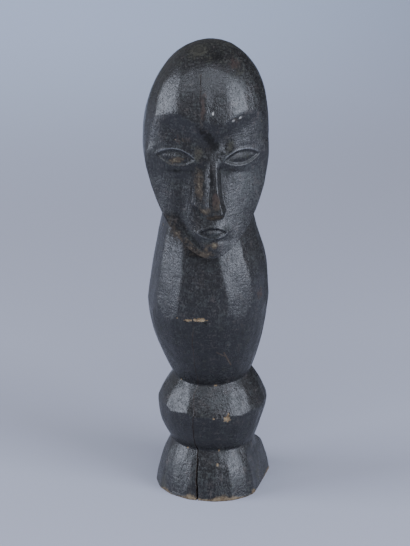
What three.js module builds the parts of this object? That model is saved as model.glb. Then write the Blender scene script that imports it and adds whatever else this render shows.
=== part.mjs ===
// A small standing figure carved from one block of wood, in millimetres, +Z up, face towards -Y.
// One closed solid: an egg-shaped head with a hollowed face on a body of cones that meet at
// crisp ridges and grooves. The whole form is one field (negative inside), and a net of rings,
// tipped forward under the chin, is laid on its surface.
import * as THREE from 'three';

// ---- driving sizes -------------------------------------------------------------------------
const HEIGHT = 219;
// body levels: [height, half width]
const FOOT = [0, 26.3];
const LOW_NECK = [23.2, 19.6];
const RING = [43.6, 25.8];
const MID_NECK = [57.3, 18.3];
const BELLY = [95.0, 28.4];
const SHOULDER = [137.0, 21.2];
const LEAN = 3.0;                // how far the body leans sideways at the neck
const BELLY_SLANT = 0.05;        // the belly's ridge climbs to one side
const FORWARD_DIP = 0.055;       // and sinks a little in front
const GROOVE_SLANT = 0.03;       // the low groove falls to that side
const TWIST = 0.15;              // the facets of the chest turn a little as they climb
const FACET_SHARPNESS = 110;     // how crisp the knife facets' edges are
// head: its middle, and the egg's sizes from there
const HEAD_MIDDLE = [-3.0, 0, 172];
const HEAD_TILT = THREE.MathUtils.degToRad(12);
const HEAD_HALF_WIDTH = 29.3;
const HEAD_UP = 46.9;
const HEAD_DOWN = 53.0;
const HEAD_FRONT = 25.6;
const HEAD_BACK = 25.0;
const HEAD_TWIST = 0.12;
const CAP_RISE = THREE.MathUtils.degToRad(50.8);   // the flatter cut across the end grain
const CAP_DISTANCE = 40.7;
const JAW_DRAWS_IN = 0.55;
// face
const CHEEK_DEPTH = 20.9;
const CHEEK_ROUND = 0.0148;
const BROW_LOW = 1.6;
const BROW_RISE = 12.2;
const BROW_PEAK_AT = 17.5;
// eyes: middle across, middle up, slant, half length, half height
const EYES = [[-15.3, -5.5, -0.14, 8.7, 3.9], [15.4, -6.3, 0.13, 8.7, 3.7]];
const NOSE_ROOT = [1.2, 2.0, 22.4];                // across, up, forward
const NOSE_TIP = [2.2, -31.8, 26.5];
const NOSE_HALF = [1.4, 3.3];
const NOSE_SWAY = -0.85;
const NOSE_FOOT = -7.3;                            // where the broad left wall meets the cheek
const MOUTH = [0.7, -40.7];
const MOUTH_HALF = [6.8, 2.4];
// the net
const COLUMNS = 64;
const REACH = 42;
const PROUD = 0.12;              // corners stand a hair out, so that the chords keep the true girth

// facets: direction in degrees, 0 in front and positive to +X, and distances from the axis
const TORSO_TOP = facets([-80, -48, -20, -2, 27, 60, 90], 6, { '-20': 0.992, '-2': 0.99, 27: 1.005 });
const TORSO_LOW = facets([-84, -58, -32, -6, 20, 46, 72], 6, { 46: 0.99, 72: 0.99 });
const RING_TOP = facets([-79, -50, -18, 6, 29, 54, 80], 6, { 6: 0.985, 80: 1.02 });
const RING_LOW = facets([-70, -42, -13, 14, 40, 68], 6);
const BASE = facets([-84, -62, -41, -17, 5, 27, 46, 70, 135], 4, {
  '-84': 1.02, '-62': 1.02, '-41': 1.01, 5: 1.02, 27: 1.015, 70: 0.905, 135: 1.06,
});
const HEAD_FACETS = facets([-66, -42, -18, 9, 27, 43, 64, 85], 8);

// ---- small helpers -------------------------------------------------------------------------
function smoothstep(lo, hi, x) {
  const t = Math.min(1, Math.max(0, (x - lo) / (hi - lo)));
  return t * t * (3 - 2 * t);
}

function softMax(a, b, k) {
  const h = Math.min(1, Math.max(0, 0.5 + (0.5 * (a - b)) / k));
  return b + (a - b) * h + k * h * (1 - h);
}

function softMin(a, b, k) {
  return -softMax(-a, -b, k);
}

function bell(x, width) {
  return Math.exp(-((x / width) ** 2));
}

function clamp(x, lo, hi) {
  return Math.min(hi, Math.max(lo, x));
}

// the front's facets are listed, the back's are spaced evenly behind them
function facets(front, behind, distances = {}) {
  const last = front[front.length - 1];
  const span = front[0] + 360 - last;
  const degrees = [...front];
  for (let i = 1; i <= behind; i++) degrees.push(last + (span * i) / (behind + 1));
  const list = degrees.map((d) => {
    const a = THREE.MathUtils.degToRad(d);
    const distance = distances[d] ?? 1;
    return [Math.sin(a) / distance, Math.cos(a) / distance];
  });
  let sum = 0;
  for (let i = 0; i < 360; i++) {
    const a = THREE.MathUtils.degToRad(i);
    sum += gauge(Math.sin(a), Math.cos(a), list);
  }
  list.mean = sum / 360;
  return list;
}

// 1 on a rounded polygon, for a direction across the axis
function gauge(ux, uy, list) {
  let total = 0;
  for (const [fx, fy] of list) total += Math.max(0, ux * fx + uy * fy) ** FACET_SHARPNESS;
  return total ** (1 / FACET_SHARPNESS);
}

// ---- body ----------------------------------------------------------------------------------
// one cone of the body, from a groove to a ridge, swelling a little and going on past both
function cone(neck, ridge, z, corner) {
  const t = (z - neck[0]) / (ridge[0] - neck[0]);
  let rise = (1 - corner) * (1 - (1 - t) ** 2) + corner * t;
  if (t < 0) rise = (2 - corner) * t;
  if (t > 1) rise = 1 + corner * (t - 1);
  return neck[1] + (ridge[1] - neck[1]) * rise;
}

function torsoTop(z) {
  const t = (z - BELLY[0]) / (SHOULDER[0] - BELLY[0]);
  const fall = t > 0 ? 0.4 * t + 0.6 * t ** 1.7 : 0.4 * t;
  return BELLY[1] + (SHOULDER[1] - BELLY[1]) * fall;
}

// the knife's facets fade out towards a groove, where the cuts meet
function facetted(list, ux, uy, z, groove, crispness) {
  const fade = crispness * smoothstep(0, 7, Math.abs(z - groove));
  return 1 + (gauge(ux, uy, list) / list.mean - 1) * fade;
}

// cones cut each other at the ridges and stand against each other at the grooves
function bodyRadius(z, ux, uy) {
  const low = LOW_NECK[0];
  const mid = MID_NECK[0];
  const base = cone(LOW_NECK, FOOT, z, 0.3) / facetted(BASE, ux, uy, Math.min(z, low), low, 0.95);
  const ringLow = cone(LOW_NECK, RING, z, 0.25) / facetted(RING_LOW, ux, uy, z, low, 0.4);
  const ringTop = cone(MID_NECK, RING, z, 0.62) / facetted(RING_TOP, ux, uy, z, mid, 0.7);
  const torsoLow = cone(MID_NECK, BELLY, z, 0.24) / facetted(TORSO_LOW, ux, uy, z, mid, 0.4);
  const turned = TWIST * smoothstep(98, 128, z) * smoothstep(-0.4, 0.2, ux);
  const fuller = 0.95 * smoothstep(0.5, 1, ux) + 0.35 * smoothstep(-0.5, -1, ux);
  const upper = facetted(TORSO_TOP, ux + turned * uy, uy - turned * ux, z, mid, 0.7);
  const top = torsoTop(z) / upper + fuller * bell(z - 114, 9);
  return Math.max(base, Math.min(ringLow, ringTop), Math.min(torsoLow, top));
}

// the line that the body's rings are threaded on
function middle(z) {
  const lean = 0.72 * smoothstep(51, 91, z) + 0.28 * smoothstep(130, 170, z);
  const x = -LEAN * lean + 0.5 * bell(z - 114, 14) - 0.6 * bell(z - 32, 8);
  const y = -1.6 * smoothstep(57, 92, z) * (1 - smoothstep(100, 150, z));
  return [x, y];
}

function slant(z) {
  const belly = BELLY_SLANT * smoothstep(47, 57, z) * (1 - smoothstep(100, 135, z));
  return belly - GROOVE_SLANT * bell(z - 22, 10);
}

function dip(z) {
  return FORWARD_DIP * smoothstep(30, 56, z) * (1 - smoothstep(98, 135, z));
}

function bodyField(x, y, z) {
  const [mx, my] = middle(z);
  const dx = x - mx;
  const dy = my - y;
  const level = z - slant(z) * dx + dip(z) * dy;
  const out = Math.hypot(dx, dy) + 1e-6;
  return (out - bodyRadius(level, dx / out, dy / out)) * 0.9;
}

// ---- head: u across, w forward, h up along the tilted head ----------------------------------
function headCoordinates(x, y, z) {
  const s = Math.sin(HEAD_TILT);
  const c = Math.cos(HEAD_TILT);
  const dy = y - HEAD_MIDDLE[1];
  const dz = z - HEAD_MIDDLE[2];
  const h = dy * s + dz * c;
  const u = x - HEAD_MIDDLE[0] - 2.0 * smoothstep(2, 42, h) - 0.7 * smoothstep(40, 47, h);
  return [u + 0.35 * bell(h + 7, 8) + 0.05 * bell(h - 34, 10), -dy * c + dz * s, h];
}

function headSizes(h) {
  const t = clamp(h > 0 ? h / HEAD_UP : -h / HEAD_DOWN, 0, 0.9999);
  const halfWidth = HEAD_HALF_WIDTH * (h > 0 ? (1 - t ** 2.45) ** 0.5 : (1 - t ** 1.8) ** 0.56);
  const front = HEAD_FRONT * (h > 0 ? Math.sqrt(1 - t ** 3.2) : 1);
  const back = HEAD_BACK * Math.sqrt(1 - t ** 2.4);
  return [halfWidth, front, back];
}

function eggFront(u, h) {
  const [halfWidth, front] = headSizes(h);
  const q = Math.min(1, Math.abs(u) / halfWidth);
  return front * (1 - q ** 2.3) ** (1 / 2.3);
}

function cheek(u, h) {
  const t = clamp((-4 - h) / 48.6, -0.5, 1.05);
  return CHEEK_DEPTH - 1.3 * t - (CHEEK_ROUND + 0.0112 * t) * u * u;
}

// distance from an almond's outline: negative inside it
function almond(u, h, halfLength, halfHeight) {
  const r = (halfLength ** 2 + halfHeight ** 2) / (2 * halfHeight);
  const c = r - halfHeight;
  return Math.max(Math.hypot(u, h - c), Math.hypot(u, h + c)) - r;
}

function brow(u) {
  const a = Math.abs(u);
  const rise = Math.sin((Math.min(1, a / BROW_PEAK_AT) * Math.PI) / 2) ** 0.9;
  return BROW_LOW + BROW_RISE * rise - 0.045 * Math.max(0, a - BROW_PEAK_AT) ** 2;
}

// the cheeks, the lids on a soft shelf, the brow, and each eye's raised rim round a hollow
function browAndLids(u, h) {
  const lidLine = -9.6 - smoothstep(-10, 10, u) + 0.01 * (Math.abs(u) - 15.5) ** 2;
  const softer = 5 * smoothstep(18, 26, Math.abs(u));
  let w = cheek(u, h) + 1.1 * smoothstep(-3.2 - softer, 1.8 + softer, h - lidLine);
  const browUp = brow(u);
  let forehead = eggFront(u, browUp) + (h - browUp) * 0.48 - 0.5;
  forehead = softMin(forehead, 25.2 + 0.26 * (h - 10) + 0.014 * u * u, 1.0);
  w = softMax(w, forehead, 1.3);
  for (const [eu, eh, lean, halfLength, halfHeight] of EYES) {
    const du = u - eu;
    const d = almond(du, h - eh - lean * du, halfLength, halfHeight);
    w += 0.2 * bell(d - 0.15, 0.55);
    w += 0.5 * smoothstep(-1.2, -3.6, d) - 0.7 * smoothstep(-0.1, -1.2, d);
    w += 0.05 * bell(d - 3.2, 0.9) * smoothstep(0, 3, h - eh);
  }
  return w;
}

// a wedge with a flat front, a broad left wall that is hollow, and a steep right one
function nose(u, h, w) {
  const t = clamp((NOSE_ROOT[1] - h) / (NOSE_ROOT[1] - NOSE_TIP[1]), 0, 1.2);
  const centre = NOSE_ROOT[0] + (NOSE_TIP[0] - NOSE_ROOT[0]) * t + NOSE_SWAY * bell(t - 0.76, 0.26);
  const half = NOSE_HALF[0] + (NOSE_HALF[1] - NOSE_HALF[0]) * t ** 2.6;
  const root = smoothstep(0.42, 0.14, t);
  const leftFoot = NOSE_FOOT + 0.6 * root - 1.6 * smoothstep(0.4, 1, t);
  const rightFoot = centre + half + 2.1 + 4.4 * root + 0.3 * smoothstep(0.7, 1, t);
  const ridge = NOSE_ROOT[2] + (NOSE_TIP[2] - NOSE_ROOT[2]) * t;
  const left = (u - leftFoot) / (centre - half - leftFoot);
  const right = (rightFoot - u) / (rightFoot - centre - half);
  const straight = 0.45 + 0.35 * root;
  const hollow = straight * left + (1 - straight) * Math.max(left, 0) ** 4.2;
  const corner = 0.03 + 0.4 * root;
  const share = clamp(softMin(softMin(hollow, right, corner), 1, corner), -0.3, 1);
  const side = u - centre;
  const end = NOSE_TIP[1] + 0.05 * side * side;
  const wedge = share > 0 ? w + (ridge - w) * share : w - 3;
  const steep = 2.6 - 1.3 * smoothstep(-1, -6, side);
  return wedge + Math.min(0, h - end) * steep - Math.max(0, h - 3) * 1.2;
}

// an almond hollow with a raised rim on a low mound, and a groove under it
function mouth(u, h, before) {
  const mu = u - MOUTH[0];
  let w = softMax(before, 22.0 - 0.06 * mu * mu - Math.abs(h - MOUTH[1] - 0.4) * 0.22, 1.8);
  const m = almond(mu, h - MOUTH[1], MOUTH_HALF[0], MOUTH_HALF[1]);
  w += 0.26 * bell(m - 0.15, 0.55);
  w += 0.5 * smoothstep(-0.5, -2.2, m) - 0.9 * smoothstep(0.1, -0.8, m);
  return w - 0.6 * bell(h - MOUTH[1] + 3.7, 1.1) * bell(mu, 6);
}

// a narrow band that was left standing along the left of the jaw
function jawBand(u, h, w) {
  const inside = (headSizes(h)[0] - Math.abs(u)) * 0.75;
  const left = smoothstep(-1, -6, u) * smoothstep(-28, -34, h);
  return w + (0.3 * smoothstep(4.6, 2.8, inside) - 0.4 * bell(inside - 4.8, 1.2)) * left;
}

// how far forward the carved face reaches
function faceFront(u, h) {
  let w = browAndLids(u, h);
  w -= 0.9 * bell(u + 12.6, 3.6) * smoothstep(-10, -18, h) * smoothstep(-46, -38, h);
  w = softMax(w, nose(u, h, w), 0.35);
  return jawBand(u, h, mouth(u, h, w));
}

function headField(x, y, z) {
  const [u, w, h] = headCoordinates(x, y, z);
  const behind = clamp(cheek(u, h) - w, 0, 16);
  const jaw = h - JAW_DRAWS_IN * behind * smoothstep(4, -24, h);
  const [halfWidth, front, back] = headSizes(jaw);
  const depth = w > 0 ? front : back;
  const m = w > 0 ? 2.3 + 5.7 * smoothstep(2, -22, h) : 2;
  const side = u / halfWidth;
  const ahead = w / depth;
  let n = (Math.abs(side) ** m + Math.abs(ahead) ** m) ** (1 / m);
  const out = Math.hypot(side, ahead) + 1e-6;
  const turned = HEAD_TWIST * smoothstep(8, 40, h);
  let fade = smoothstep(44, 34, h) * Math.max(smoothstep(-2, 8, h), smoothstep(4, -8, w));
  fade *= smoothstep(-44, -30, h);
  const cut = gauge((side + turned * ahead) / out, (ahead - turned * side) / out, HEAD_FACETS);
  n *= 1 + (cut / HEAD_FACETS.mean - 1) * fade;
  const egg = Math.max((n - 1) * Math.min(halfWidth, depth), h - HEAD_UP, -HEAD_DOWN - jaw);
  const cap = w * Math.cos(CAP_RISE) + h * Math.sin(CAP_RISE) - CAP_DISTANCE;
  const temple = 0.7 + 1.6 * bell(h - 4, 9) * smoothstep(12, 22, Math.abs(u));
  return softMax(softMax(egg, cap, 0.3), (w - faceFront(u, h)) * 0.75, temple);
}

function field(x, y, z) {
  return softMin(bodyField(x, y, z), headField(x, y, z), 0.6);
}

// ---- the net of rings ----------------------------------------------------------------------
// [from, to, steps] up the middle line
const STRETCHES = [
  [0, LOW_NECK[0], 5], [LOW_NECK[0], RING[0], 4], [RING[0], MID_NECK[0], 4],
  [MID_NECK[0], BELLY[0], 6], [BELLY[0], 130, 6], [130, 146, 14], [146, 186, 27], [186, 214, 8],
];

function levels() {
  const list = [0];
  for (const [from, to, steps] of STRETCHES) {
    for (let i = 1; i <= steps; i++) list.push(from + ((to - from) * i) / steps);
  }
  list.push(216.6);
  return list;
}

// columns stand closer together over the face
function columnAngle(j) {
  const t = (j + 0.5) / COLUMNS;
  return 2 * Math.PI * t - 0.52 * Math.sin(2 * Math.PI * t) + Math.PI * 2;
}

function ringFrame(z) {
  const [x, y] = middle(z);
  const back = 4 * smoothstep(185, 215, z);
  const tip = smoothstep(98, 139, z) * (1 - 0.8 * smoothstep(146, 208, z));
  return { x: x + 3.4 * smoothstep(174, 217, z), y: y + back, z, tip, slant: slant(z), dip: dip(z) };
}

// a ring dips in front, along the jaw, and climbs at the nape
function climb(o, angle) {
  const away = THREE.MathUtils.radToDeg(Math.acos(Math.cos(angle)));
  const slope = o.slant * Math.sin(angle) - o.dip * Math.cos(angle);
  return o.tip * (-0.55 + 0.88 * smoothstep(0, 88, away)) + slope;
}

// the outermost crossing along a ray from the ring's middle
function cast(o, dx, dy, dz) {
  const steps = 84;
  let outer = REACH;
  let inner = 0;
  for (let k = 1; k <= steps; k++) {
    const r = REACH * (1 - k / steps);
    if (field(o.x + dx * r, o.y + dy * r, o.z + dz * r) <= 0) {
      inner = r;
      break;
    }
    outer = r;
  }
  for (let k = 0; k < 16; k++) {
    const r = (inner + outer) / 2;
    if (field(o.x + dx * r, o.y + dy * r, o.z + dz * r) <= 0) inner = r;
    else outer = r;
  }
  const r = Math.max(0.3, (inner + outer) / 2) + PROUD;
  return [o.x + dx * r, o.y + dy * r, o.z + dz * r];
}

function buildFigure() {
  const rings = levels().map((z) => {
    const o = ringFrame(z);
    const ring = [];
    for (let j = 0; j < COLUMNS; j++) {
      const a = columnAngle(j);
      ring.push(cast(o, Math.sin(a), -Math.cos(a), climb(o, a)));
    }
    return ring;
  });
  const positions = rings.flat(2);
  const at = (i, j) => i * COLUMNS + (j % COLUMNS);
  const apart = (a, b) => {
    let d = 0;
    for (let k = 0; k < 3; k++) d += (positions[a * 3 + k] - positions[b * 3 + k]) ** 2;
    return d;
  };
  const index = [];
  for (let i = 0; i + 1 < rings.length; i++) {
    for (let j = 0; j < COLUMNS; j++) {
      const a = at(i, j);
      const b = at(i, j + 1);
      const c = at(i + 1, j + 1);
      const d = at(i + 1, j);
      if (apart(a, c) <= apart(b, d)) index.push(a, b, c, a, c, d);
      else index.push(a, b, d, b, c, d);
    }
  }
  // the crown's last point and the flat underside
  const top = ringFrame(levels().at(-1));
  let peak = top.z;
  while (field(top.x, top.y, peak) <= 0 && peak < HEIGHT + 6) peak += 0.02;
  const crown = positions.length / 3;
  positions.push(top.x, top.y, peak);
  positions.push(1.7, 2.3, 0);
  const last = rings.length - 1;
  for (let j = 0; j < COLUMNS; j++) {
    index.push(at(last, j), at(last, j + 1), crown);
    index.push(at(0, j + 1), at(0, j), crown + 1);
  }
  const geometry = new THREE.BufferGeometry();
  geometry.setAttribute('position', new THREE.Float32BufferAttribute(positions, 3));
  geometry.setIndex(index);
  geometry.computeVertexNormals();
  return geometry;
}

// ---- the part ------------------------------------------------------------------------------
const figure = new THREE.Mesh(
  buildFigure(),
  new THREE.MeshStandardMaterial({ name: 'stained_wood', color: 0x25211f, roughness: 0.5, metalness: 0 }),
);
figure.name = 'figure';

const part = new THREE.Group();
part.name = 'lega_figure';
part.add(figure);

export default part;
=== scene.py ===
# %% [markdown]
# # A carved wooden figure
# This lesson dresses a small standing figure that was carved with a knife from one block of
# wood, stained black and waxed. Its packed solid gives the size and the place. The scene adds
# the fine carving, the drying crack, the chips, the worn edges and the waxed finish.
# The whole figure is one piece of wood, so it stays one object with one material.

# %% Load the packed model and keep its box
import math

import bpy
import numpy as np
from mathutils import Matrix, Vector


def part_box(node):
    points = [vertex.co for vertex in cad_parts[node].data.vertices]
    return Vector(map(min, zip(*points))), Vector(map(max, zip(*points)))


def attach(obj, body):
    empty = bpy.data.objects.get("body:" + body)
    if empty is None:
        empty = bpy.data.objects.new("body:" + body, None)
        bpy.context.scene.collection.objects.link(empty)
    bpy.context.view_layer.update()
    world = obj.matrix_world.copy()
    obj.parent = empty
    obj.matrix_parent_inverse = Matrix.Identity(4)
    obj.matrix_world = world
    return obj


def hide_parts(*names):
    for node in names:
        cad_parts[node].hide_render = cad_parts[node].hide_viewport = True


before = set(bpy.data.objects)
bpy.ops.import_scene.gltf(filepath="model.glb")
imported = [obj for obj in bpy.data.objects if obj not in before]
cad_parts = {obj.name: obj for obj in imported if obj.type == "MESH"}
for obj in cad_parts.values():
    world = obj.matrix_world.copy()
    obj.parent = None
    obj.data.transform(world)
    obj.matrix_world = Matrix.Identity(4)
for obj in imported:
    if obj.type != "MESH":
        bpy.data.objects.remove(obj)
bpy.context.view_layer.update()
figure_low, figure_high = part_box("figure")
height = figure_high.z - figure_low.z
print("the solid is", round(height * 1000, 1), "mm tall")

# %% [markdown]
# ## Small curves that carving needs
# A carver's form is made of flats and hollows that run into each other over a small rounding.
# Four helpers say that: a smooth step from 0 to 1, a soft larger or smaller of two surfaces,
# and a bell for a groove or a bead. They work on whole arrays at once, so that a hundred
# thousand points are quick. Lengths in the carving are in millimetres, as a carver measures,
# and become metres when the mesh is made.

# %% Smooth step, soft larger, soft smaller and bell
def smoothstep(low, high, value):
    t = np.clip((value - low) / (high - low), 0.0, 1.0)
    return t * t * (3.0 - 2.0 * t)


def soft_larger(a, b, rounding):
    share = np.clip(0.5 + 0.5 * (a - b) / rounding, 0.0, 1.0)
    return b + (a - b) * share + rounding * share * (1.0 - share)


def soft_smaller(a, b, rounding):
    return -soft_larger(-a, -b, rounding)


def bell(value, width):
    return np.exp(-(value / width) ** 2)


print("halfway up a smooth step the value is", float(smoothstep(0.0, 1.0, 0.5)))

# %% [markdown]
# ## The body: cones with knife flats
# The body was cut as five cones, which meet at two crisp ridges and two sharp grooves. Each
# cone shows the flats that the knife left, each about a fifteenth of the way round. A flat is a
# direction round the axis, so a cone with flats is its radius divided by a rounded polygon.
# Where two cones face each other at a ridge, the smaller radius holds, and at a groove the larger.

# %% Levels and radii of the body
FOOT = (0.0, 26.3)
LOW_NECK = (23.2, 19.6)
RING = (43.6, 25.8)
MID_NECK = (57.3, 18.3)
BELLY = (95.0, 28.4)
SHOULDER = (137.0, 21.2)
LEAN = 3.0
BELLY_SLANT = 0.05
FORWARD_DIP = 0.055
GROOVE_SLANT = 0.03
FULL_LEVEL = 114.0
TWIST = 0.15
FLAT_SHARPNESS = 110.0
print("the belly's ridge stands at", BELLY[0], "mm and the shoulder at", SHOULDER[0], "mm")


# %% The knife flats, as a rounded polygon round the axis
def flats(front, behind, distances=None):
    """directions of the flats in degrees from the front, those behind evenly spread, as a polygon"""
    distances = distances or {}
    last = front[-1]
    span = front[0] + 360.0 - last
    degrees = list(front) + [last + span * (i + 1) / (behind + 1) for i in range(behind)]
    table = []
    for d in degrees:
        distance = distances.get(d, 1.0)
        table.append((math.sin(math.radians(d)) / distance, math.cos(math.radians(d)) / distance))
    round_trip = np.radians(np.arange(360))
    mean = float(np.mean(polygon(np.sin(round_trip), np.cos(round_trip), table)))
    return table, mean


def polygon(across, ahead, table):
    total = 0.0
    for fx, fy in table:
        total = total + np.maximum(0.0, across * fx + ahead * fy) ** FLAT_SHARPNESS
    return total ** (1.0 / FLAT_SHARPNESS)


TORSO_TOP = flats([-80, -48, -20, -2, 27, 60, 90], 6, {-20: 0.992, -2: 0.99, 27: 1.005})
TORSO_LOW = flats([-84, -58, -32, -6, 20, 46, 72], 6, {46: 0.99, 72: 0.99})
RING_TOP = flats([-79, -50, -18, 6, 29, 54, 80], 6, {6: 0.985, 80: 1.02})
RING_LOW = flats([-70, -42, -13, 14, 40, 68], 6)
BASE = flats([-84, -62, -41, -17, 5, 27, 46, 70, 135], 4,
             {-84: 1.02, -62: 1.02, -41: 1.01, 5: 1.02, 27: 1.015, 70: 0.905, 135: 1.06})
HEAD_FLATS = flats([-66, -42, -18, 9, 27, 43, 64, 85], 8)
print("the torso shows", len(TORSO_TOP[0]), "knife flats round it")


# %% How thick the body is at each level, in each direction
def cone(neck, ridge, z, corner):
    """a radius that goes from a neck to a ridge, and grows fastest near the neck"""
    t = (z - neck[0]) / (ridge[0] - neck[0])
    rise = (1.0 - corner) * (1.0 - (1.0 - t) ** 2) + corner * t
    rise = np.where(t < 0.0, (2.0 - corner) * t, rise)
    rise = np.where(t > 1.0, 1.0 + corner * (t - 1.0), rise)
    return neck[1] + (ridge[1] - neck[1]) * rise


def torso_top(z):
    t = (z - BELLY[0]) / (SHOULDER[0] - BELLY[0])
    fall = np.where(t > 0.0, 0.4 * t + 0.6 * np.abs(t) ** 1.7, 0.4 * t)
    return BELLY[1] + (SHOULDER[1] - BELLY[1]) * fall


def facetted(kind, across, ahead, z, groove, crispness):
    table, mean = kind
    fade = crispness * smoothstep(0.0, 7.0, np.abs(z - groove))
    return 1.0 + (polygon(across, ahead, table) / mean - 1.0) * fade


def body_radius(z, across, ahead):
    base = cone(LOW_NECK, FOOT, z, 0.3)
    base = base / facetted(BASE, across, ahead, np.minimum(z, LOW_NECK[0]), LOW_NECK[0], 0.95)
    ring_low = cone(LOW_NECK, RING, z, 0.25) / facetted(RING_LOW, across, ahead, z, LOW_NECK[0], 0.4)
    ring_top = cone(MID_NECK, RING, z, 0.62) / facetted(RING_TOP, across, ahead, z, MID_NECK[0], 0.7)
    torso_low = cone(MID_NECK, BELLY, z, 0.24)
    torso_low = torso_low / facetted(TORSO_LOW, across, ahead, z, MID_NECK[0], 0.4)
    turned = TWIST * smoothstep(98, 128, z) * smoothstep(-0.4, 0.2, across)
    turned_to = (across + turned * ahead, ahead - turned * across)
    top = torso_top(z) / facetted(TORSO_TOP, *turned_to, z, MID_NECK[0], 0.7)
    fuller = 0.95 * smoothstep(0.5, 1.0, across) + 0.35 * smoothstep(-0.5, -1.0, across)
    top = top + fuller * bell(z - FULL_LEVEL, 9)
    ring = np.minimum(ring_low, ring_top)
    torso = np.minimum(torso_low, top)
    return np.maximum(base, np.maximum(ring, torso))


belly_width = 2 * float(torso_top(np.array(BELLY[0])))
print("the belly is about", round(belly_width, 1), "mm wide at its ridge")


# %% The body as a surface: negative inside
def middle(z):
    x = -LEAN * (0.72 * smoothstep(51, 91, z) + 0.28 * smoothstep(130, 170, z))
    x = x + 0.5 * bell(z - FULL_LEVEL, 14) - 0.6 * bell(z - 32, 8)
    y = -1.6 * smoothstep(57, 92, z) * (1.0 - smoothstep(100, 150, z))
    return x, y


def slant(z):
    """how much the ridges and the grooves rise to the right"""
    at_belly = BELLY_SLANT * smoothstep(47, 57, z) * (1.0 - smoothstep(100, 135, z))
    return at_belly - GROOVE_SLANT * bell(z - 22, 10)


def dip(z):
    """how much the ridges and the grooves sink towards the front"""
    return FORWARD_DIP * smoothstep(30, 56, z) * (1.0 - smoothstep(98, 135, z))


def body_field(x, y, z):
    mx, my = middle(z)
    dx = x - mx
    dy = my - y
    level = z - slant(z) * dx + dip(z) * dy
    out = np.hypot(dx, dy) + 1e-6
    return (out - body_radius(level, dx / out, dy / out)) * 0.9


print("on the way up the body leans", LEAN, "mm to the left")

# %% [markdown]
# ## The head: an egg with a face cut into it
# The head is an egg that leans back a little, with knife flats running down it and a cap that
# was cut flatter across the end grain. Its front was cut away to a face that is convex from
# cheek to cheek, and the sides of the face draw in behind to make a jaw. On the face, each
# feature is a height: how far forward the wood reaches at that place. The brow is where the
# egg stops, the nose is a wedge with a broad left wall and a steep right one, and the eyes and
# the mouth are almonds with a thin raised rim.

# %% The egg's sizes and the face's features
HEAD_MIDDLE = (-3.0, 0.0, 172.0)
HEAD_TILT = math.radians(12.0)
HEAD_HALF_WIDTH = 29.3
HEAD_UP = 46.9
HEAD_DOWN = 53.0
HEAD_FRONT = 25.6
HEAD_BACK = 25.0
HEAD_TWIST = 0.12
CAP_RISE = math.radians(50.8)
CAP_DISTANCE = 40.7
JAW_DRAWS_IN = 0.55
CHEEK_DEPTH = 20.9
CHEEK_ROUND = 0.0148
BROW_LOW = 1.6
BROW_RISE = 12.2
BROW_PEAK_AT = 17.5
EYES = ((-15.3, -5.5, -0.14, 8.7, 3.9), (15.4, -6.3, 0.13, 8.7, 3.7))
NOSE_ROOT = (1.2, 2.0, 22.4)
NOSE_TIP = (2.2, -31.8, 26.5)
NOSE_HALF = (1.4, 3.3)
NOSE_SWAY = -0.85
NOSE_FOOT = -7.3
MOUTH = (0.7, -40.7)
MOUTH_HALF = (6.8, 2.4)
JAW_GROOVE = 4.8
JAW_BAND = (4.6, 2.8)
print("the head is", round(HEAD_UP + HEAD_DOWN, 1), "mm long")


# %% The egg, the curve of the cheeks, an almond and the line of the brow
def head_coordinates(x, y, z):
    s = math.sin(HEAD_TILT)
    c = math.cos(HEAD_TILT)
    dy = y - HEAD_MIDDLE[1]
    dz = z - HEAD_MIDDLE[2]
    h = dy * s + dz * c
    across = x - HEAD_MIDDLE[0] - 2.0 * smoothstep(2, 42, h) - 0.7 * smoothstep(40, 47, h)
    across = across + 0.35 * bell(h + 7, 8) + 0.05 * bell(h - 34, 10)
    return across, -dy * c + dz * s, h


def head_sizes(h):
    up = h > 0.0
    t = np.clip(np.where(up, h / HEAD_UP, -h / HEAD_DOWN), 0.0, 0.9999)
    half_width = HEAD_HALF_WIDTH * np.where(up, (1 - t ** 2.45) ** 0.5, (1 - t ** 1.8) ** 0.56)
    front = HEAD_FRONT * np.where(up, np.sqrt(1 - t ** 3.2), 1.0)
    back = HEAD_BACK * np.sqrt(1 - t ** 2.4)
    return half_width, front, back


def egg_front(across, h):
    half_width, front, back = head_sizes(h)
    q = np.clip(np.abs(across) / half_width, 0.0, 1.0)
    return front * (1 - q ** 2.3) ** (1 / 2.3)


def cheek(across, h):
    t = np.clip((-4.0 - h) / 48.6, -0.5, 1.05)
    return CHEEK_DEPTH - 1.3 * t - (CHEEK_ROUND + 0.0112 * t) * across ** 2


def almond(across, h, half_length, half_height):
    """distance from the border of an almond made of two arcs, negative inside"""
    r = (half_length ** 2 + half_height ** 2) / (2 * half_height)
    c = r - half_height
    return np.maximum(np.hypot(across, h - c), np.hypot(across, h + c)) - r


def brow(across):
    a = np.abs(across)
    rise = np.sin(np.clip(a / BROW_PEAK_AT, 0, 1) * math.pi / 2) ** 0.9
    return BROW_LOW + BROW_RISE * rise - 0.045 * np.maximum(0.0, a - BROW_PEAK_AT) ** 2


print("the brow peaks", BROW_LOW + BROW_RISE, "mm over the head's middle")


# %% The brow, the lids and the eyes
def eye_shape(across, h, eye):
    du = across - eye[0]
    return almond(du, h - eye[1] - eye[2] * du, eye[3], eye[4])


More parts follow.
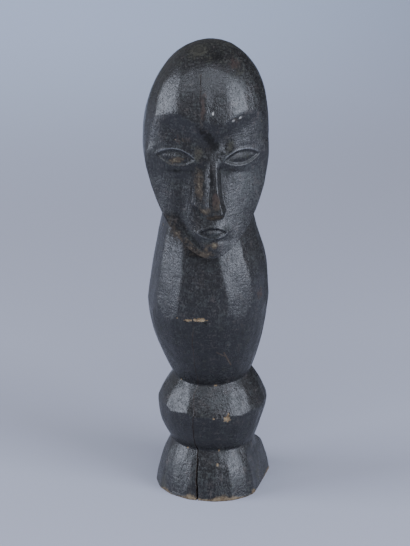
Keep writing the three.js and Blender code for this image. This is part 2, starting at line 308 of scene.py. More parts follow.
def brow_and_lids(across, h):
    lid_line = -9.6 - smoothstep(-10, 10, across) + 0.01 * (np.abs(across) - 15.5) ** 2
    softer = 5.0 * smoothstep(18.0, 26.0, np.abs(across))
    w = cheek(across, h) + 1.1 * smoothstep(-3.2 - softer, 1.8 + softer, h - lid_line)
    brow_up = brow(across)
    forehead = egg_front(across, brow_up) + (h - brow_up) * 0.48 - 0.5
    turned_under = 25.2 + 0.26 * (h - 10.0) + 0.014 * across ** 2
    forehead = soft_smaller(forehead, turned_under, 1.0)
    w = soft_larger(w, forehead, 1.3)
    for eye in EYES:
        d = eye_shape(across, h, eye)
        w = w + 0.2 * bell(d - 0.15, 0.55)
        w = w - 0.7 * smoothstep(-0.1, -1.2, d) + 0.5 * smoothstep(-1.2, -3.6, d)
        w = w + 0.05 * bell(d - 3.2, 0.9) * smoothstep(0.0, 3.0, h - eye[1])
    return w


print("the left eye is", 2 * EYES[0][3], "mm long and", 2 * EYES[0][4], "mm high")


# %% The nose, and the hollow beside it
def nose(across, h, w):
    t = np.clip((NOSE_ROOT[1] - h) / (NOSE_ROOT[1] - NOSE_TIP[1]), 0.0, 1.2)
    centre = NOSE_ROOT[0] + (NOSE_TIP[0] - NOSE_ROOT[0]) * t + NOSE_SWAY * bell(t - 0.76, 0.26)
    half = NOSE_HALF[0] + (NOSE_HALF[1] - NOSE_HALF[0]) * t ** 2.6
    root = smoothstep(0.42, 0.14, t)
    left_foot = NOSE_FOOT + 0.6 * root - 1.6 * smoothstep(0.4, 1.0, t)
    right_foot = centre + half + 2.1 + 4.4 * root + 0.3 * smoothstep(0.7, 1.0, t)
    ridge = NOSE_ROOT[2] + (NOSE_TIP[2] - NOSE_ROOT[2]) * t
    left = (across - left_foot) / (centre - half - left_foot)
    right = (right_foot - across) / (right_foot - centre - half)
    straight = 0.45 + 0.35 * root
    hollow = straight * left + (1.0 - straight) * np.maximum(left, 0.0) ** 4.2
    corner = 0.03 + 0.4 * root
    right_corner = corner + 0.3 * bell(t - 0.5, 0.2)
    share = soft_smaller(soft_smaller(right, 1.0, right_corner), hollow, corner)
    share = np.clip(share, -0.3, 1.0)
    wedge = np.where(share > 0.0, w + (ridge - w) * share, w - 3.0)
    side = across - centre
    end = NOSE_TIP[1] + 0.05 * side ** 2
    wedge = wedge + np.minimum(0.0, h - end) * (2.6 - 1.6 * smoothstep(-1.0, -6.0, side))
    return wedge - np.maximum(0.0, h - 3.0) * 1.2


print("the nose is", round(NOSE_ROOT[1] - NOSE_TIP[1], 1), "mm long")


# %% The mouth, the jaw band and how far forward the whole face reaches
def mouth(across, h, w):
    mu = across - MOUTH[0]
    w = soft_larger(w, 22.0 - 0.06 * mu ** 2 - np.abs(h - MOUTH[1] - 0.4) * 0.22, 1.8)
    m = almond(mu, h - MOUTH[1], MOUTH_HALF[0], MOUTH_HALF[1])
    w = w + 0.26 * bell(m - 0.15, 0.55)
    w = w - 0.9 * smoothstep(0.1, -0.8, m) + 0.5 * smoothstep(-0.5, -2.2, m)
    return w - 0.6 * bell(h - MOUTH[1] + 3.7, 1.1) * bell(mu, 6.0)


def jaw_places(across, h):
    """how far in from the edge of the face a point is, and whether it is on the left jaw"""
    inside = (head_sizes(h)[0] - np.abs(across)) * 0.75
    return inside, smoothstep(-1.0, -6.0, across) * smoothstep(-28, -34, h)


def jaw_band(across, h, w):
    inside, left = jaw_places(across, h)
    w = w + 0.3 * smoothstep(*JAW_BAND, inside) * left
    return w - 0.4 * bell(inside - JAW_GROOVE, 1.2) * left


def face_front(across, h):
    w = brow_and_lids(across, h)
    w = w - 0.9 * bell(across + 12.6, 3.6) * smoothstep(-10, -18, h) * smoothstep(-46, -38, h)
    w = soft_larger(w, nose(across, h, w), 0.35)
    w = mouth(across, h, w)
    return jaw_band(across, h, w)


print("the mouth is", 2 * MOUTH_HALF[0], "mm wide")


# %% The head and the whole figure as a surface
def head_field(x, y, z):
    across, w, h = head_coordinates(x, y, z)
    behind = np.clip(cheek(across, h) - w, 0.0, 16.0)
    jaw = h - JAW_DRAWS_IN * behind * smoothstep(4, -24, h)
    half_width, front, back = head_sizes(jaw)
    depth = np.where(w > 0, front, back)
    m = np.where(w > 0, 2.3 + 5.7 * smoothstep(2, -22, h), 2.0)
    side = across / half_width
    ahead = w / depth
    n = (np.abs(side) ** m + np.abs(ahead) ** m) ** (1 / m)
    out = np.hypot(side, ahead) + 1e-6
    fade = smoothstep(44, 34, h) * np.maximum(smoothstep(-2, 8, h), smoothstep(4, -8, w))
    fade = fade * smoothstep(-44, -30, h)
    turned = HEAD_TWIST * smoothstep(8, 40, h)
    polygon_here = polygon((side + turned * ahead) / out, (ahead - turned * side) / out, HEAD_FLATS[0])
    n = n * (1.0 + (polygon_here / HEAD_FLATS[1] - 1.0) * fade)
    egg = (n - 1.0) * np.minimum(half_width, depth)
    egg = np.maximum(egg, np.maximum(h - HEAD_UP, -HEAD_DOWN - jaw))
    cap = w * math.cos(CAP_RISE) + h * math.sin(CAP_RISE) - CAP_DISTANCE
    egg = soft_larger(egg, cap, 0.3)
    temple = 0.7 + 1.6 * bell(h - 4, 9) * smoothstep(12, 22, np.abs(across))
    return soft_larger(egg, (w - face_front(across, h)) * 0.75, temple)


def field(x, y, z):
    return soft_smaller(body_field(x, y, z), head_field(x, y, z), 0.6)


heart = [np.array([place]) for place in HEAD_MIDDLE]
print("the middle of the head lies", round(-float(field(*heart)[0]), 1), "mm deep in the wood")

# %% [markdown]
# ## A net of rings laid on the carving
# The field says where wood is, and a mesh has to be laid on it. A stack of rings, threaded on a
# line up the middle, finds the surface by marching in from outside along every ray. Under the
# chin the rings dip forward, so that they run along the jaw and can reach the undercut. Rings
# and columns stand closer where there is more to see: the face, the ridges and the crack.

# %% Where the rings and the columns stand
RINGS = 392
COLUMNS = 252
REACH = 38.0
LAST_RING = 218.0


def spaced(low, high, count, density):
    """stations from low to high, which stand closer where the density is larger"""
    fine = np.linspace(low, high, 6000)
    weight = density(fine)
    share = np.concatenate([[0.0], np.cumsum((weight[1:] + weight[:-1]) / 2)])
    return np.interp(np.linspace(0, share[-1], count), share, fine)


def ring_density(z):
    dense = 0.9 + 2.3 * smoothstep(128, 132, z) * (1 - smoothstep(192, 198, z))
    for level in (LOW_NECK[0], RING[0], MID_NECK[0], BELLY[0]):
        dense = dense + 2.0 * bell(z - level, 1.6)
    dense = dense + 1.5 * bell(z, 2.5) + 2.0 * smoothstep(213, 218, z)
    return dense + 1.2 * smoothstep(134, 137, z) * (1 - smoothstep(143, 147, z))


def column_density(away_from_crack):
    a = away_from_crack
    front = smoothstep(-75, -45, a) * (1 - smoothstep(88, 118, a))
    return 1.0 + 1.7 * front + 9.0 * bell(a, 0.9)


ring_levels = spaced(0.0, LAST_RING, RINGS, ring_density)
column_turns = spaced(-180.0, 180.0, COLUMNS + 1, column_density)[:-1]
print(RINGS, "rings and", COLUMNS, "columns,", RINGS * COLUMNS * 2, "triangles at most")


# %% The crack's place, and each ring's middle and dip
def crack_turn(z):
    foot_to_crown = [0, 12, 22.4, 27, 44, 53, 60, 77, 92, 140, 193, 201, 209, 219]
    turns = [-21.7, -23, -25, -26.5, -25.1, -29, -25, -22.4, -19.5, -17, -14.2, -16.8, -20.6, -21]
    return np.interp(z, foot_to_crown, turns)


def ring_rays(z, turn):
    """where a ray starts, and how far it goes across, back and up for each step outwards"""
    angle = np.radians(turn + crack_turn(z))
    mx, my = middle(z)
    ox = mx + 3.4 * smoothstep(174, 217, z)
    oy = my + 4.0 * smoothstep(185, 215, z)
    tip = smoothstep(98, 139, z) * (1.0 - 0.8 * smoothstep(146, 208, z))
    away = np.degrees(np.arccos(np.cos(angle)))
    climb = tip * (-0.55 + 0.88 * smoothstep(0, 88, away))
    climb = climb + slant(z) * np.sin(angle) - dip(z) * np.cos(angle)
    return ox, oy, np.sin(angle), -np.cos(angle), climb


print("at the foot the crack is", round(-float(crack_turn(0.0)), 1), "degrees left of the front")


# %% March in along every ray and close in on the surface
def lay_net():
    z, turn = np.meshgrid(ring_levels, column_turns, indexing="ij")
    shape = z.shape
    z = z.ravel()
    ox, oy, dx, dy, dz = ring_rays(z, turn.ravel())
    inner = np.zeros(z.size)
    outer = np.full(z.size, REACH)
    waiting = np.arange(z.size)
    step = 0.8
    r = REACH
    while r > step and waiting.size:
        r = r - step
        w = waiting
        inside = field(ox[w] + dx[w] * r, oy[w] + dy[w] * r, z[w] + dz[w] * r) <= 0
        inner[w[inside]] = r
        outer[w[~inside]] = r
        waiting = w[~inside]
    for _ in range(10):
        mid = (inner + outer) / 2
        inside = field(ox + dx * mid, oy + dy * mid, z + dz * mid) <= 0
        inner = np.where(inside, mid, inner)
        outer = np.where(inside, outer, mid)
    r = (inner + outer) / 2
    rays = [a.reshape(shape) for a in (ox, oy, z, dx, dy, dz)]
    return r.reshape(shape), rays


radius, rays = lay_net()
ox, oy, oz, dx, dy, dz = rays
print("radius from", round(float(radius.min()), 1), "to", round(float(radius.max()), 1), "mm")

# %% [markdown]
# ## The drying crack and the knocks
# Wood dries from outside, so one long crack opened down the front. It is a real slit in the
# base, about half a millimetre wide, and closes to a hair higher up. The columns of the net
# follow it, and the radius dips between them. Knocks took small scallops off the ridges, down
# to bare wood. Each one is a dent in the radius and a mask, which the finish reads later. Three
# on the brow show chalk more than wood, and have a mask of their own. The whole net lies a hair
# inside the solid, so that nothing grows past it.

# %% The slit
INSIDE_THE_SOLID = 0.08
CLOSED = 0.02


def crack_opening(z):
    levels = [0, 14, 23, 26, 46, 60, 88, 100, 199, 201, 208.5, 210.5]
    openings = [0.34, 0.32, 0.24, 0.09, 0.09, 0.045, 0.06, 0.0, 0.0, 0.13, 0.13, 0.0]
    return np.interp(z, levels, openings)


turn_grid = np.broadcast_to(column_turns[None, :], radius.shape)
wander = 0.16 * np.sin(oz / 2.3) + 0.10 * np.sin(oz / 0.9 + 1.3)
crack_aside = np.radians(turn_grid) * radius - wander
opening = crack_opening(oz)
slit = np.clip(1.0 - np.abs(crack_aside) / np.maximum(opening, CLOSED), 0.0, 1.0)
slit = slit * (opening > CLOSED)
crack_depth = 11.0 * opening * smoothstep(0.0, 0.35, opening) + 1.2 * opening
carved = radius - INSIDE_THE_SOLID - crack_depth * slit ** 0.7
crack_mask = bell(crack_aside, np.maximum(opening * 1.15, 0.17)) * smoothstep(0.0, 0.1, opening)
print("the crack is", round(float(crack_depth.max()), 1), "mm deep at the base")

# %% Every point of the net, and what a knock takes off
px = ox + dx * radius
py = oy + dy * radius
pz = oz + dz * radius
front_turn = np.degrees(np.arctan2(px, -py))
chip_mask = np.zeros(radius.shape)
speck_mask = np.zeros(radius.shape)


def knock(across, level, half_width, half_height, depth, lean=0.0, white=0.0):
    """a scallop out of the front of the figure, placed by its distance across and its level"""
    global carved, chip_mask, speck_mask
    nearest = np.argmin(np.hypot(px - across, pz - level) + 99.0 * (py > 0))
    aside = np.hypot(px - px.flat[nearest], py - py.flat[nearest]) * np.sign(px - px.flat[nearest])
    du = aside / half_width
    dv = (pz - level - lean * aside) / half_height
    ragged = 0.34 * np.sin(aside * 3.1 + level) + 0.26 * np.sin(pz * 4.3 + across)
    spread = du ** 2 + dv ** 2 + ragged * smoothstep(0.2, 0.9, np.hypot(du, dv))
    g = np.clip(1.0 - spread, 0.0, 1.0)
    carved = carved - depth * g ** 0.6
    chip_mask = np.maximum(chip_mask, (1.0 - white) * smoothstep(0.0, 0.3, g))
    speck_mask = np.maximum(speck_mask, white * smoothstep(0.0, 0.3, g))


def share_of_surface(values, level):
    """the per cent of the net's points where a mask is above a level"""
    return round(float((values > level).mean()) * 100, 2)


print("points in front:", share_of_surface(-py, 0.0), "%")

# %% The knocks on the ridges, the grooves and the brow
knock(-8.3, 94.0, 3.5, 0.95, 0.6, lean=0.05)
knock(-14.0, 93.2, 2.0, 0.6, 0.4, lean=0.1)
knock(-18.6, 93.6, 0.5, 0.4, 0.25)
knock(5.0, 41.7, 1.75, 2.0, 0.6, lean=-0.2)
knock(5.7, 44.0, 0.6, 0.5, 0.35)
knock(7.1, 45.3, 0.5, 0.5, 0.3)
knock(-1.8, 42.3, 0.6, 0.5, 0.3)
knock(-23.6, 133.0, 0.6, 0.6, 0.3)
knock(-1.7, 191.8, 0.6, 0.55, 0.12, white=1.0)
knock(8.0, 187.9, 0.8, 0.5, 0.3, white=0.6)
knock(11.3, 188.8, 0.75, 0.6, 0.3, white=0.8)
knock(-18.7, 178.8, 0.4, 0.4, 0.2)
knock(-15.8, 56.3, 0.45, 0.4, 0.25)
knock(0.0, 56.2, 0.8, 0.35, 0.25)
knock(-13.4, 23.3, 0.45, 0.4, 0.25)
knock(1.3, 23.4, 0.6, 0.4, 0.3)
knock(0.6, 17.5, 0.5, 0.6, 0.3)
print("the knocks bare", share_of_surface(chip_mask, 0.5), "% of the surface")

# %% [markdown]
# ## From the net to a mesh
# The net becomes a mesh of quads, closed by a fan at the crown and one under the foot. The
# crown's point is found as the rays' ends are, by closing in on the surface.

# %% Close in on the crown, and join the rings into one closed mesh
def crown_point(x, y, low):
    high = low + 6.0
    for _ in range(20):
        mid = (low + high) / 2
        inside = field(np.array([x]), np.array([y]), np.array([mid]))[0] <= 0
        low = mid if inside else low
        high = high if inside else mid
    return np.array([x, y, low])


points = np.stack([ox + dx * carved, oy + dy * carved, oz + dz * carved], axis=-1)
points[0, :, 2] = 0.0
rows, cols = carved.shape
last_middle = points[-1].mean(axis=0)
crown = crown_point(last_middle[0], last_middle[1], last_middle[2] - 0.5)
under = np.array([0.0, 0.0, 0.0])
coordinates = np.concatenate([points.reshape(-1, 3), crown[None], under[None]]) / 1000.0
i, j = np.meshgrid(np.arange(rows - 1), np.arange(cols), indexing="ij")
k = (j + 1) % cols
quads = np.stack([i * cols + j, i * cols + k, (i + 1) * cols + k, (i + 1) * cols + j], axis=-1)
ends = np.arange(cols)
after = (ends + 1) % cols
top_row = (rows - 1) * cols
top_fan = np.stack([top_row + ends, top_row + after, np.full(cols, rows * cols)], axis=-1)
foot_fan = np.stack([after, ends, np.full(cols, rows * cols + 1)], axis=-1)
faces = quads.reshape(-1, 4).tolist() + top_fan.tolist() + foot_fan.tolist()
mesh = bpy.data.meshes.new("carving")
mesh.from_pydata(coordinates.tolist(), [], faces)
mesh.polygons.foreach_set("use_smooth", [True] * len(mesh.polygons))
mesh.update()
print(len(mesh.vertices), "points,", len(mesh.polygons), "faces, crown at", round(crown[2], 2), "mm")

# %% [markdown]
# ## Masks for the finish
# The finish changes from place to place: brown where hands rubbed the nose, the chin and the jaw,
# dusty in a few corners, matt where the wax is gone, pale where the stain is thin, bare along the
# foot and dull on the crown's end grain, with a sooty patch on the crown. Some masks paint light
# and shade into the colour: painted shade in the hollows and under the brow, the eyes, the chin
# and the belly's knock, painted highlights on the rims of the lids and lips, and a painted sheen
# on the right cheek, the right forehead, the chin and the ring's top. Each kind is one number at
# every point of the mesh, so it stays on the wood from any side. Sharp edges are found from the
# net itself, where a point stands proud of its neighbours. Most other kinds are soft patches,
# each placed on its own spot of the figure, and where some overlap the strongest counts.

# %% How far each point stands proud of its neighbours
def proud_of_neighbours(reach_rows, reach_columns):
    along = (np.roll(points, reach_columns, axis=1) + np.roll(points, -reach_columns, axis=1)) / 2
    up = points.copy()
    up[reach_rows:-reach_rows] = (points[2 * reach_rows:] + points[:-2 * reach_rows]) / 2
    outward = np.stack([dx, dy, np.zeros_like(dx)], axis=-1)
    return ((points - along) * outward).sum(-1) + ((points - up) * outward).sum(-1)


proud = proud_of_neighbours(3, 3)
clear_of_crack = crack_mask < 0.1
edge_mask = smoothstep(0.08, 0.34, proud) * clear_of_crack
hollow_mask = smoothstep(-0.08, -0.4, proud) * clear_of_crack
print("sharp edges take up", share_of_surface(edge_mask, 0.5), "% of the surface")

# %% Two kinds of soft patch, and the strongest of several
head_across, head_ahead, head_up = head_coordinates(px, py, pz)
on_face = head_ahead > 2.0


def rub(across, up, half_width, half_height, strength):
    """a soft patch on the face, placed in the head's own coordinates"""
    du = (head_across - across) / half_width
    dv = (head_up - up) / half_height
    return strength * np.exp(-(du ** 2 + dv ** 2)) * on_face


def near(x, y, z, reach, strength):
    """a round soft patch about one point of the figure"""
    return strength * np.exp(-((px - x) ** 2 + (py - y) ** 2 + (pz - z) ** 2) / reach ** 2)


def strongest(*patches):
    return np.maximum.reduce(patches)


print("points ahead of the head's middle:", share_of_surface(on_face, 0.5), "%")

# %% Places rubbed brown, on the nose, the chin, the jaw, the left eye and the brow
jaw_inside, left_jaw = jaw_places(head_across, head_up)
left_jaw = left_jaw * smoothstep(-54, -52, head_up) * smoothstep(10.0, 12.0, head_ahead)
jaw_groove = bell(jaw_inside - JAW_GROOVE, 1.5) * left_jaw
jaw_edge = smoothstep(*JAW_BAND, jaw_inside) * left_jaw
jaw = strongest(rub(-15.4, -41.5, 3.0, 4.0, 0.8), rub(-9.7, -48.0, 4.0, 2.4, 0.75), 0.55 * jaw_edge)
nose_wall = strongest(rub(-5.1, -19.5, 2.8, 12.0, 0.85), rub(-3.6, -30.3, 2.8, 2.2, 0.9))
nose_end = strongest(rub(1.9, -27.5, 2.4, 6.0, 0.5), rub(1.6, -33.4, 4.6, 1.6, 1.0))
chin = strongest(rub(0.4, -46.6, 5.5, 2.0, 0.6), rub(-3.0, -50.5, 8.0, 2.2, 0.75))
gold_chin = strongest(near(-1.7, -29.9, 130.9, 1.8, 1.3), near(-5.6, -29.6, 128.9, 1.2, 1.0))
left_eye = strongest(rub(-15.2, -7.0, 4.4, 1.9, 1.1), rub(-11.5, 2.4, 5.5, 1.4, 0.5))
inner_corner = rub(-4.9, -3.5, 2.6, 4.0, 0.55)
brow_knock = rub(12.0, 11.6, 3.4, 1.4, 0.6)
rubbed = strongest(jaw, nose_wall, nose_end, chin, gold_chin, left_eye, inner_corner, brow_knock)
print("rubbed", share_of_surface(rubbed, 0.4), "% of the surface")

# %% Painted shade in the hollows and under things, and a sooty patch on the crown
# painted shade: darker colour where shade falls, in the V under the brow, on the nose's front and right
# flank, under and round the eyes, under the chin and round the belly's knock
shade_between_brows = strongest(near(-8.5, -22.5, 185.6, 2.8, 0.7), near(-6.4, -22.4, 183.4, 2.8, 0.9),
                          near(-4.4, -22.3, 181.2, 2.9, 1.0), near(-3.0, -22.4, 179.0, 3.0, 1.0),
                          near(-1.4, -22.5, 176.6, 3.2, 1.0))
shade_on_nose = strongest(rub(0.2, -14.0, 1.6, 7.0, 0.95), near(1.8, -22.6, 171.4, 3.4, 0.75))
shade_round_eyes = strongest(rub(-14.5, -11.8, 8.5, 1.4, 0.75), rub(12.0, -12.4, 7.0, 1.7, 0.6),
                       rub(15.2, -6.6, 6.2, 2.0, 0.4), near(5.6, -21.0, 175.0, 4.4, 0.6))
shadow_under_chin = near(-4.0, -25.0, 124.0, 6.5, 0.6)
shade_round_belly_chip = strongest(near(-6.0, -29.4, 92.4, 1.9, 0.7), near(-11.0, -28.2, 92.2, 1.9, 0.6))
# the crown's own dark sooty patch, which is real colour
crown_soot = near(2.0, -6.0, 214.9, 4.2, 0.9)
# the mask joins this painted shade, painted shade in the jaw's groove and the crown's sooty patch
soot = strongest(shade_between_brows, shade_on_nose, shade_round_eyes, shadow_under_chin, shade_round_belly_chip, crown_soot,
                 0.55 * jaw_groove)
print("soot on", share_of_surface(soot, 0.4), "% of the surface")

# %% Dust in a few corners, and reddish places
crown_dust = near(-6.9, -2.7, 216.3, 3.8, 0.8)
right_eye_dust = near(6.5, -20.6, 175.5, 2.8, 0.7)
foot_dust = strongest(near(22.0, -8.0, 5.0, 5.0, 0.7), near(-23.5, -9.0, 2.5, 4.0, 0.8))
dust = strongest(crown_dust, right_eye_dust, inner_corner, foot_dust)
red_crown = near(9.5, -8.4, 211.4, 4.2, 0.8)
red_brow = strongest(near(-17.4, -18.6, 178.3, 3.4, 0.4), rub(-3.8, 17.0, 1.5, 9.0, 0.85))
red_nose = rub(1.8, -25.0, 2.4, 5.5, 0.9)
red_belly = near(20.6, -17.9, 101.6, 3.6, 0.8)
red = strongest(red_crown, red_brow, red_nose, red_belly)
print("dust on", share_of_surface(dust, 0.4), "% and red on", share_of_surface(red, 0.4), "%")

# %% Places where the wax is gone, and places painted paler: thin stain, and a painted sheen
RING_SLOPE = 50.0
right_eye = strongest(rub(15.0, 4.0, 9.0, 3.6, 0.5), rub(14.5, -6.3, 7.5, 2.6, 0.7))
nose_matt = strongest(rub(-4.6, -21.0, 3.4, 13.0, 1.0), rub(0.6, -22.0, 3.0, 12.0, 0.7))
beside_nose = strongest(rub(8.5, 1.0, 6.0, 6.5, 0.95), rub(8.3, -14.0, 4.0, 6.0, 0.7))
mouth_matt = rub(1.5, -41.0, 8.0, 3.6, 0.6)
jaw_matt = strongest(jaw_groove, jaw_edge, rub(-15.0, -42.0, 6.0, 8.0, 0.8))
ring_matt = 0.18 * bell(pz - RING_SLOPE, 6.0)
side_matt = 0.9 * smoothstep(46, 70, front_turn) * smoothstep(142, 134, pz) * smoothstep(-20, 60, pz)
low_matt = 0.35 * smoothstep(94, 88, pz) * smoothstep(55, 60, pz)
low_matt = low_matt + 0.3 * smoothstep(43, 38, pz) * smoothstep(21, 26, pz)
matt = strongest(right_eye, nose_matt, beside_nose, mouth_matt, jaw_matt, ring_matt, side_matt,
                 low_matt)
# painted sheen: the right cheek, the right forehead and the ring's top are painted paler where their
# flats catch the light; the nose's end and the mouth have thinner stain, and the chin's top gets a
# painted highlight
right_cheek_sheen = rub(19.0, -19.0, 6.5, 10.0, 0.9)
right_forehead_sheen = rub(13.0, 22.0, 5.0, 10.0, 0.7)
nose_left_end = rub(-3.6, -32.5, 3.2, 2.0, 0.9)
mouth_pale = strongest(rub(0.7, -41.0, 5.5, 1.7, 0.7), rub(0.0, -45.5, 7.0, 3.0, 0.5))
ring_top_sheen = 0.6 * bell(pz - RING_SLOPE, 5.0) * bell(front_turn - 4.0, 26.0)
pale = strongest(right_cheek_sheen, right_forehead_sheen, nose_left_end, mouth_pale, ring_top_sheen)
print("matt on", share_of_surface(matt, 0.4), "% and pale on", share_of_surface(pale, 0.4), "%")

# %% Painted highlights on the rims of the eyes and the mouth
# painted highlight: a light line along the lids, strongest on the upper rims, and along the lips,
# strongest on the lower rim, where the raised rims catch the light
rim = np.zeros(radius.shape)
for eye in EYES:
    above = head_up - eye[1] - eye[2] * (head_across - eye[0])
    short_of_end = smoothstep(-1.0, 1.0, abs(eye[0]) - np.abs(head_across) + 8.0)
    strength = 0.2 + 0.75 * smoothstep(-1.0, 1.5, above) * short_of_end
    line = bell(eye_shape(head_across, head_up, eye) - 0.2, 0.36)
    rim = np.maximum(rim, strength * line * on_face)
mouth_shape = almond(head_across - MOUTH[0], head_up - MOUTH[1], MOUTH_HALF[0], MOUTH_HALF[1])
lip_highlight_strength = 0.3 + 0.35 * smoothstep(0.5, -0.5, head_up - MOUTH[1])
rim = np.maximum(rim, lip_highlight_strength * bell(mouth_shape - 0.2, 0.4) * on_face)
print("rims on", share_of_surface(rim, 0.4), "% of the surface")

# %% The bare foot and the crown's end grain
FOOT_PATCHES = ((-29, 9, 1.0), (7, 15, 1.0), (-62, 6, 0.7), (44, 5, 0.7), (130, 30, 0.7), (-150, 25, 0.6))
foot_patches = np.zeros(radius.shape)
for patch_turn, patch_width, strength in FOOT_PATCHES:
    foot_patches = foot_patches + strength * bell(front_turn - patch_turn, patch_width)
foot_mask = smoothstep(0.5 + 6.5 * foot_patches, 0.0, pz)
crown_level = 210.5 - 0.018 * (px + 5.5) ** 2 - 0.03 * np.maximum(0.0, -12.0 - px) ** 2
crown_level = crown_level + 1.5 * bell(px + 4.0, 4.0) - 0.8 * bell(px + 13.0, 3.0)
crown_mask = smoothstep(-0.9, 0.9, pz - crown_level) * (0.35 + 0.65 * bell(px + 1.5, 17.0))
print("the crown's border is", round(float(crown_level.max()), 1), "mm up at its highest")

# %% Store the masks on the mesh
masks = {
    "crack": crack_mask,
    "chip": chip_mask,
    "edge": edge_mask,
    "hollow": hollow_mask,
    "rubbed": rubbed,
    "soot": soot,
    "dust": dust,
    "red": red,
    "matt": matt,
    "pale": pale,
    "speck": speck_mask,
    "rim": rim,
    "foot": foot_mask,
    "crown": crown_mask,
}
at_crown = {"crown": 1.0}
for name, values in masks.items():
    layer = mesh.attributes.new(name, "FLOAT", "POINT")
    flat = np.concatenate([values.ravel(), [at_crown.get(name, 0.0), 0.0]])
    layer.data.foreach_set("value", flat.astype(np.float32))
print("masks:", ", ".join(masks))

# %% [markdown]
# ## Knife marks with Geometry Nodes
# A knife leaves shallow scoops that overlap all over the figure, a rule that repeats and
# follows a surface, so Geometry Nodes make it. Each cell of a stretched Voronoi pattern is one
# scoop, deepest in its middle, and a slow noise keeps the flats from being true. Every move
# goes inwards along the normal, so the figure never grows past its solid. The tree's inputs
# are its sizes, and its result is made a plain mesh.

# %% A class that writes node maths as plain sums
class Wire:
    """A socket that sums, products and steps can be written with."""

    def __init__(self, board, socket):
        self.board = board
        self.socket = socket

    def __add__(self, other):
        return self.board.maths("ADD", self, other)

    def __radd__(self, other):
        return self.board.maths("ADD", other, self)

    def __sub__(self, other):
        return self.board.maths("SUBTRACT", self, other)

    def __rsub__(self, other):
        return self.board.maths("SUBTRACT", other, self)

    def __mul__(self, other):
        return self.board.maths("MULTIPLY", self, other)

    def __rmul__(self, other):
        return self.board.maths("MULTIPLY", other, self)

    def larger(self, other):
        return self.board.maths("MAXIMUM", self, other)

    def smaller(self, other):
        return self.board.maths("MINIMUM", self, other)

    def power(self, other):
        return self.board.maths("POWER", self, other)

    def step(self, low, high):
        settings = {"interpolation_type": "SMOOTHSTEP"}
        return self.board.node("ShaderNodeMapRange", settings, {0: self, 1: low, 2: high, 3: 0.0, 4: 1.0})


print("a wire can be:", ", ".join(name for name in vars(Wire) if not name.startswith("_")))


# %% A class for a node tree, with one way to add a node
class Board:
    """A node tree with one way to add a node."""

    def __init__(self, tree):
        self.tree = tree

    def node(self, kind, settings=None, values=None, out=0):
        made = self.tree.nodes.new(kind)
        for key, value in (settings or {}).items():
            setattr(made, key, value)
        for key, value in (values or {}).items():
            self.put(made.inputs[key], value)
        return Wire(self, made.outputs[out])

    def put(self, socket, value):
        if isinstance(value, Wire):
            self.tree.links.new(value.socket, socket)
        else:
            socket.default_value = value

    def maths(self, operation, a, b):
        return self.node("ShaderNodeMath", {"operation": operation}, {0: a, 1: b})

    def vector(self, operation, a, b, out=0):
        return self.node("ShaderNodeVectorMath", {"operation": operation}, {0: a, 1: b}, out)


print("a board has:", ", ".join(name for name in vars(Board) if not name.startswith("_")))

# %% The tree of knife marks: its inputs
marks = bpy.data.node_groups.new("knife_marks", "GeometryNodeTree")
marks.is_modifier = True
face_of_tree = marks.interface
face_of_tree.new_socket("Geometry", in_out="INPUT", socket_type="NodeSocketGeometry")
for label in ("Scoop Depth", "Scoop Width", "Scoop Length", "Sway Depth", "Sway Size", "Seed"):
    face_of_tree.new_socket(label, in_out="INPUT", socket_type="NodeSocketFloat")
face_of_tree.new_socket("Wood", in_out="INPUT", socket_type="NodeSocketMaterial")
face_of_tree.new_socket("Geometry", in_out="OUTPUT", socket_type="NodeSocketGeometry")
board = Board(marks)
given = marks.nodes.new("NodeGroupInput")
take = {s.name: Wire(board, s) for s in given.outputs if s.name}
print("inputs:", ", ".join(take))

# %% The scoops, the sway of the flats, and the move inwards
FOOT_FADE = (0.0002, 0.002)
place = board.node("GeometryNodeInputPosition")
normal = board.node("GeometryNodeInputNormal")
long_way = board.node("ShaderNodeCombineXYZ", {}, {0: take["Scoop Width"], 1: take["Scoop Width"],
                                                   2: take["Scoop Length"]})
stretched = board.vector("DIVIDE", place, long_way)
shifted = board.vector("ADD", stretched, take["Seed"])
cell = board.node("ShaderNodeTexVoronoi", {"feature": "SMOOTH_F1"},
                  {"Vector": shifted, "Scale": 1.0, "Smoothness": 0.25, "Randomness": 0.9})
scoop = 1.0 - (cell * 1.5).power(2.0)
slow = board.node("ShaderNodeTexNoise", {}, {"Vector": board.vector("DIVIDE", place, take["Sway Size"]),
                                             "Scale": 1.0, "Detail": 1.0, "Roughness": 0.4})
crack_there = board.node("GeometryNodeInputNamedAttribute", {"data_type": "FLOAT"}, {0: "crack"})
on_foot = board.node("ShaderNodeSeparateXYZ", {}, {0: place}, out=2).step(*FOOT_FADE)
inward = take["Scoop Depth"] * scoop.larger(0.0) + take["Sway Depth"] * slow
inward = inward * (1.0 - crack_there) * on_foot
offset = board.node("ShaderNodeVectorMath", {"operation": "SCALE"}, {0: normal, 3: inward * -1.0})
moved = board.node("GeometryNodeSetPosition", {}, {"Geometry": take["Geometry"], "Offset": offset})
whole = board.node("GeometryNodeRealizeInstances", {}, {0: moved})
finished = board.node("GeometryNodeSetMaterial", {}, {"Geometry": whole, "Material": take["Wood"]})
result = marks.nodes.new("NodeGroupOutput")
board.put(result.inputs[0], finished)
print("the tree has", len(marks.nodes), "nodes")

# %% [markdown]
# ## The black stain, the wax and the wear
# The wood was stained black and waxed, so it is nearly black with a blue-grey sheen where a
# flat mirrors the light. The grain runs up the figure as growth rings round a point behind it,
# so one pattern gives upright lines on the sides and arcs on the crown. Worn places show the
# brown wood under the stain, knocks show bare tan wood, and both are duller than the wax.
# The masks choose the place and a noise breaks their borders, as real wear does: it is added by
# how far it swings about its middle. A scratch is the distance to a straight line, in which
# depth hardly counts, so that it follows the curved wood.

